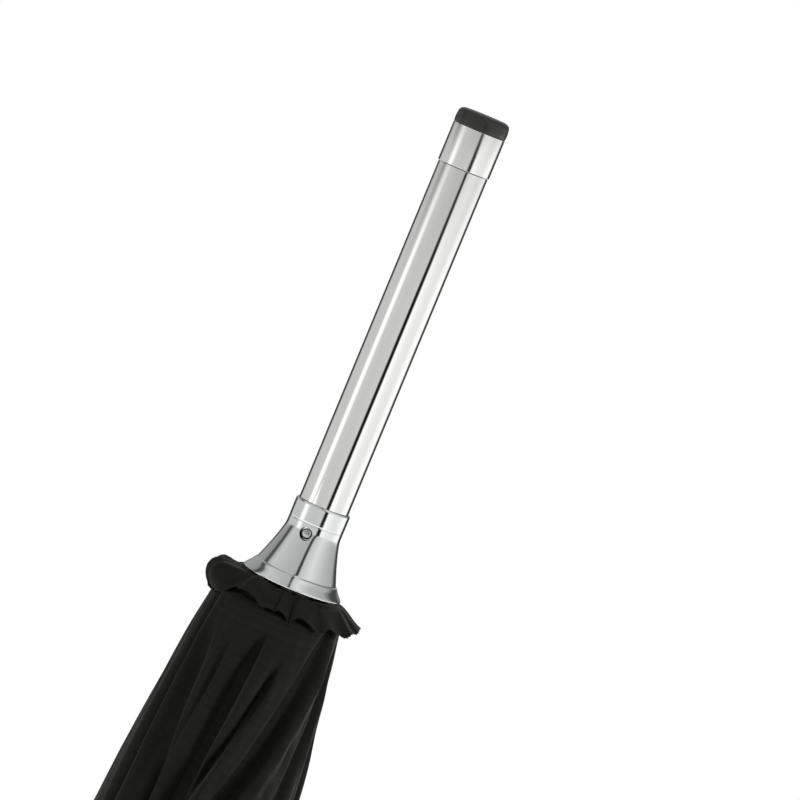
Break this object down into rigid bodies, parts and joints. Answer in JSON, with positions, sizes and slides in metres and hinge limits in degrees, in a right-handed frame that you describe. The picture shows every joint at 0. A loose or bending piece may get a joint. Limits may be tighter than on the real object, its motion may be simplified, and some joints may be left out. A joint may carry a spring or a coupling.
{
  "type": "stick umbrella",
  "caption": "Closed stick umbrella, held tip up, with a long chrome ferrule, bell cap, gathered ruffle, folding ribbed frame and crook handle.",
  "frame": {"origin": "on the shaft's axis at the middle of the grip, where a hand holds it", "axes": "+Z along the shaft towards the tip, +X towards the free end of the crook"},
  "size_m": [0.0969, 0.069, 0.8752],
  "materials": {
    "chrome": "polished chrome plate",
    "satin_chrome": "chrome plate over a spun metal cap, slightly soft in its reflections",
    "steel": "plain bright steel",
    "black_steel": "black enamelled steel",
    "cover_cloth": "black woven cloth with a fine cross rib and a soft sheen",
    "rubber": "dark grey moulded rubber",
    "runner_plastic": "black moulded plastic",
    "grip": "black lacquered crook"
  },
  "bodies": {
    "root": {"shaft_tube": "black_steel", "ferrule_dowel": "steel", "ferrule_tube": "chrome", "ferrule_collar": "chrome", "rubber_tip": "rubber", "bell_cap": "satin_chrome", "bell_rivet": "satin_chrome", "ruffle": "cover_cloth", "crown_notch": "black_steel", "crown_wire": "steel", "handle_crook": "grip", "handle_collar": "chrome", "handle_end_cap": "chrome"},
    "top_catch": {"top_catch": "steel"},
    "bottom_catch": {"bottom_catch": "steel"},
    "runner": {"runner_sleeve": "runner_plastic", "runner_notch": "runner_plastic", "runner_wire": "steel"},
    "rib_1": {"rib_1": "black_steel", "rib_tip_1": "chrome"},
    "stretcher_1": {"stretcher_1": "black_steel"},
    "rib_2": {"rib_2": "black_steel", "rib_tip_2": "chrome"},
    "stretcher_2": {"stretcher_2": "black_steel"},
    "rib_3": {"rib_3": "black_steel", "rib_tip_3": "chrome"},
    "stretcher_3": {"stretcher_3": "black_steel"},
    "rib_4": {"rib_4": "black_steel", "rib_tip_4": "chrome"},
    "stretcher_4": {"stretcher_4": "black_steel"},
    "rib_5": {"rib_5": "black_steel", "rib_tip_5": "chrome"},
    "stretcher_5": {"stretcher_5": "black_steel"},
    "rib_6": {"rib_6": "black_steel", "rib_tip_6": "chrome"},
    "stretcher_6": {"stretcher_6": "black_steel"},
    "rib_7": {"rib_7": "black_steel", "rib_tip_7": "chrome"},
    "stretcher_7": {"stretcher_7": "black_steel"},
    "rib_8": {"rib_8": "black_steel", "rib_tip_8": "chrome"},
    "stretcher_8": {"stretcher_8": "black_steel"},
    "gore_1_left": {"gore_1_left": "cover_cloth"},
    "gore_1_right": {"gore_1_right": "cover_cloth", "closure_strap": "cover_cloth", "strap_snap": "chrome"},
    "gore_2_left": {"gore_2_left": "cover_cloth"},
    "gore_2_right": {"gore_2_right": "cover_cloth"},
    "gore_3_left": {"gore_3_left": "cover_cloth"},
    "gore_3_right": {"gore_3_right": "cover_cloth"},
    "gore_4_left": {"gore_4_left": "cover_cloth"},
    "gore_4_right": {"gore_4_right": "cover_cloth"},
    "gore_5_left": {"gore_5_left": "cover_cloth"},
    "gore_5_right": {"gore_5_right": "cover_cloth"},
    "gore_6_left": {"gore_6_left": "cover_cloth"},
    "gore_6_right": {"gore_6_right": "cover_cloth"},
    "gore_7_left": {"gore_7_left": "cover_cloth"},
    "gore_7_right": {"gore_7_right": "cover_cloth"},
    "gore_8_left": {"gore_8_left": "cover_cloth"},
    "gore_8_right": {"gore_8_right": "cover_cloth"}
  },
  "joints": [
    {"name": "rib_1_open", "type": "hinge", "parent": "root", "child": "rib_1", "pos_m": [0.00156, -0.00734, 0.7], "axis": [-0.9781, -0.2079, 0], "range_deg": [0, 70], "deforming": ["gore_1_left", "gore_1_right", "gore_2_left", "gore_2_right", "gore_3_left", "gore_3_right", "gore_4_left", "gore_4_right", "gore_5_left", "gore_5_right", "gore_6_left", "gore_6_right", "gore_7_left", "gore_7_right", "gore_8_left", "gore_8_right", "top_catch", "bottom_catch"]},
    {"name": "stretcher_1_elbow", "type": "hinge", "parent": "rib_1", "child": "stretcher_1", "pos_m": [0.00497, -0.02339, 0.43], "axis": [-0.9781, -0.2079, 0], "range_deg": [-140, 0]},
    {"name": "rib_2_open", "type": "hinge", "parent": "root", "child": "rib_2", "pos_m": [0.00629, -0.00408, 0.7], "axis": [-0.5446, -0.8387, 0], "range_deg": [0, 70]},
    {"name": "stretcher_2_elbow", "type": "hinge", "parent": "rib_2", "child": "stretcher_2", "pos_m": [0.02006, -0.01302, 0.43], "axis": [-0.5446, -0.8387, 0], "range_deg": [-140, 0]},
    {"name": "rib_3_open", "type": "hinge", "parent": "root", "child": "rib_3", "pos_m": [0.00734, 0.00156, 0.7], "axis": [0.2079, -0.9781, 0], "range_deg": [0, 70]},
    {"name": "stretcher_3_elbow", "type": "hinge", "parent": "rib_3", "child": "stretcher_3", "pos_m": [0.02339, 0.00497, 0.43], "axis": [0.2079, -0.9781, 0], "range_deg": [-140, 0]},
    {"name": "rib_4_open", "type": "hinge", "parent": "root", "child": "rib_4", "pos_m": [0.00408, 0.00629, 0.7], "axis": [0.8387, -0.5446, 0], "range_deg": [0, 70]},
    {"name": "stretcher_4_elbow", "type": "hinge", "parent": "rib_4", "child": "stretcher_4", "pos_m": [0.01302, 0.02006, 0.43], "axis": [0.8387, -0.5446, 0], "range_deg": [-140, 0]},
    {"name": "rib_5_open", "type": "hinge", "parent": "root", "child": "rib_5", "pos_m": [-0.00156, 0.00734, 0.7], "axis": [0.9781, 0.2079, 0], "range_deg": [0, 70]},
    {"name": "stretcher_5_elbow", "type": "hinge", "parent": "rib_5", "child": "stretcher_5", "pos_m": [-0.00497, 0.02339, 0.43], "axis": [0.9781, 0.2079, 0], "range_deg": [-140, 0]},
    {"name": "rib_6_open", "type": "hinge", "parent": "root", "child": "rib_6", "pos_m": [-0.00629, 0.00408, 0.7], "axis": [0.5446, 0.8387, 0], "range_deg": [0, 70]},
    {"name": "stretcher_6_elbow", "type": "hinge", "parent": "rib_6", "child": "stretcher_6", "pos_m": [-0.02006, 0.01302, 0.43], "axis": [0.5446, 0.8387, 0], "range_deg": [-140, 0]},
    {"name": "rib_7_open", "type": "hinge", "parent": "root", "child": "rib_7", "pos_m": [-0.00734, -0.00156, 0.7], "axis": [-0.2079, 0.9781, 0], "range_deg": [0, 70]},
    {"name": "stretcher_7_elbow", "type": "hinge", "parent": "rib_7", "child": "stretcher_7", "pos_m": [-0.02339, -0.00497, 0.43], "axis": [-0.2079, 0.9781, 0], "range_deg": [-140, 0]},
    {"name": "rib_8_open", "type": "hinge", "parent": "root", "child": "rib_8", "pos_m": [-0.00408, -0.00629, 0.7], "axis": [-0.8387, 0.5446, 0], "range_deg": [0, 70]},
    {"name": "stretcher_8_elbow", "type": "hinge", "parent": "rib_8", "child": "stretcher_8", "pos_m": [-0.01302, -0.02006, 0.43], "axis": [-0.8387, 0.5446, 0], "range_deg": [-140, 0]},
    {"name": "runner_rise", "type": "hinge", "parent": "stretcher_1", "child": "runner", "pos_m": [0.00156, -0.00734, 0.16], "axis": [-0.9781, -0.2079, 0], "range_deg": [0, 70]},
    {"name": "gore_1_left_spread", "type": "hinge", "parent": "rib_1", "child": "gore_1_left", "pos_m": [0.00302, -0.00703, 0.7], "axis": [0.4263, -0.7162, -0.5526], "range_deg": [0, 25.4]},
    {"name": "gore_1_right_spread", "type": "hinge", "parent": "rib_2", "child": "gore_1_right", "pos_m": [0.00548, -0.00534, 0.7], "axis": [-0.5158, 0.6547, 0.5526], "range_deg": [0, 25.4]},
    {"name": "gore_2_left_spread", "type": "hinge", "parent": "rib_2", "child": "gore_2_left", "pos_m": [0.0071, -0.00283, 0.7], "axis": [0.8079, -0.2049, -0.5526], "range_deg": [0, 25.4]},
    {"name": "gore_2_right_spread", "type": "hinge", "parent": "rib_3", "child": "gore_2_right", "pos_m": [0.00765, 0.0001, 0.7], "axis": [-0.8277, 0.0982, 0.5526], "range_deg": [0, 25.4]},
    {"name": "gore_3_left_spread", "type": "hinge", "parent": "rib_3", "child": "gore_3_left", "pos_m": [0.00703, 0.00302, 0.7], "axis": [0.7162, 0.4263, -0.5526], "range_deg": [0, 25.4]},
    {"name": "gore_3_right_spread", "type": "hinge", "parent": "rib_4", "child": "gore_3_right", "pos_m": [0.00534, 0.00548, 0.7], "axis": [-0.6547, -0.5158, 0.5526], "range_deg": [0, 25.4]},
    {"name": "gore_4_left_spread", "type": "hinge", "parent": "rib_4", "child": "gore_4_left", "pos_m": [0.00283, 0.0071, 0.7], "axis": [0.2049, 0.8079, -0.5526], "range_deg": [0, 25.4]},
    {"name": "gore_4_right_spread", "type": "hinge", "parent": "rib_5", "child": "gore_4_right", "pos_m": [-0.0001, 0.00765, 0.7], "axis": [-0.0982, -0.8277, 0.5526], "range_deg": [0, 25.4]},
    {"name": "gore_5_left_spread", "type": "hinge", "parent": "rib_5", "child": "gore_5_left", "pos_m": [-0.00302, 0.00703, 0.7], "axis": [-0.4263, 0.7162, -0.5526], "range_deg": [0, 25.4]},
    {"name": "gore_5_right_spread", "type": "hinge", "parent": "rib_6", "child": "gore_5_right", "pos_m": [-0.00548, 0.00534, 0.7], "axis": [0.5158, -0.6547, 0.5526], "range_deg": [0, 25.4]},
    {"name": "gore_6_left_spread", "type": "hinge", "parent": "rib_6", "child": "gore_6_left", "pos_m": [-0.0071, 0.00283, 0.7], "axis": [-0.8079, 0.2049, -0.5526], "range_deg": [0, 25.4]},
    {"name": "gore_6_right_spread", "type": "hinge", "parent": "rib_7", "child": "gore_6_right", "pos_m": [-0.00765, -0.0001, 0.7], "axis": [0.8277, -0.0982, 0.5526], "range_deg": [0, 25.4]},
    {"name": "gore_7_left_spread", "type": "hinge", "parent": "rib_7", "child": "gore_7_left", "pos_m": [-0.00703, -0.00302, 0.7], "axis": [-0.7162, -0.4263, -0.5526], "range_deg": [0, 25.4]},
    {"name": "gore_7_right_spread", "type": "hinge", "parent": "rib_8", "child": "gore_7_right", "pos_m": [-0.00534, -0.00548, 0.7], "axis": [0.6547, 0.5158, 0.5526], "range_deg": [0, 25.4]},
    {"name": "gore_8_left_spread", "type": "hinge", "parent": "rib_8", "child": "gore_8_left", "pos_m": [-0.00283, -0.0071, 0.7], "axis": [-0.2049, -0.8079, -0.5526], "range_deg": [0, 25.4]},
    {"name": "gore_8_right_spread", "type": "hinge", "parent": "rib_1", "child": "gore_8_right", "pos_m": [0.0001, -0.00765, 0.7], "axis": [0.0982, 0.8277, 0.5526], "range_deg": [0, 25.4]},
    {"name": "top_catch_press", "type": "hinge", "parent": "root", "child": "top_catch", "pos_m": [0, 0, 0.46886], "axis": [-0.8241, -0.5664, 0], "range_deg": [0, 5.5], "stiffness_Nm_per_rad": 1.5},
    {"name": "bottom_catch_press", "type": "hinge", "parent": "root", "child": "bottom_catch", "pos_m": [0, 0, 0.153], "axis": [0.8241, 0.5664, 0], "range_deg": [0, 5.5], "stiffness_Nm_per_rad": 1.5}
  ],
  "couplings": [
    {"joint": "stretcher_1_elbow", "follows": "rib_1_open", "ratio": -2},
    {"joint": "rib_2_open", "follows": "rib_1_open", "ratio": 1},
    {"joint": "stretcher_2_elbow", "follows": "rib_1_open", "ratio": -2},
    {"joint": "rib_3_open", "follows": "rib_1_open", "ratio": 1},
    {"joint": "stretcher_3_elbow", "follows": "rib_1_open", "ratio": -2},
    {"joint": "rib_4_open", "follows": "rib_1_open", "ratio": 1},
    {"joint": "stretcher_4_elbow", "follows": "rib_1_open", "ratio": -2},
    {"joint": "rib_5_open", "follows": "rib_1_open", "ratio": 1},
    {"joint": "stretcher_5_elbow", "follows": "rib_1_open", "ratio": -2},
    {"joint": "rib_6_open", "follows": "rib_1_open", "ratio": 1},
    {"joint": "stretcher_6_elbow", "follows": "rib_1_open", "ratio": -2},
    {"joint": "rib_7_open", "follows": "rib_1_open", "ratio": 1},
    {"joint": "stretcher_7_elbow", "follows": "rib_1_open", "ratio": -2},
    {"joint": "rib_8_open", "follows": "rib_1_open", "ratio": 1},
    {"joint": "stretcher_8_elbow", "follows": "rib_1_open", "ratio": -2},
    {"joint": "runner_rise", "follows": "rib_1_open", "ratio": 1},
    {"joint": "gore_1_left_spread", "follows": "rib_1_open", "ratio": 0.36282},
    {"joint": "gore_1_right_spread", "follows": "rib_1_open", "ratio": 0.36282},
    {"joint": "gore_2_left_spread", "follows": "rib_1_open", "ratio": 0.36282},
    {"joint": "gore_2_right_spread", "follows": "rib_1_open", "ratio": 0.36282},
    {"joint": "gore_3_left_spread", "follows": "rib_1_open", "ratio": 0.36282},
    {"joint": "gore_3_right_spread", "follows": "rib_1_open", "ratio": 0.36282},
    {"joint": "gore_4_left_spread", "follows": "rib_1_open", "ratio": 0.36282},
    {"joint": "gore_4_right_spread", "follows": "rib_1_open", "ratio": 0.36282},
    {"joint": "gore_5_left_spread", "follows": "rib_1_open", "ratio": 0.36282},
    {"joint": "gore_5_right_spread", "follows": "rib_1_open", "ratio": 0.36282},
    {"joint": "gore_6_left_spread", "follows": "rib_1_open", "ratio": 0.36282},
    {"joint": "gore_6_right_spread", "follows": "rib_1_open", "ratio": 0.36282},
    {"joint": "gore_7_left_spread", "follows": "rib_1_open", "ratio": 0.36282},
    {"joint": "gore_7_right_spread", "follows": "rib_1_open", "ratio": 0.36282},
    {"joint": "gore_8_left_spread", "follows": "rib_1_open", "ratio": 0.36282},
    {"joint": "gore_8_right_spread", "follows": "rib_1_open", "ratio": 0.36282}
  ]
}
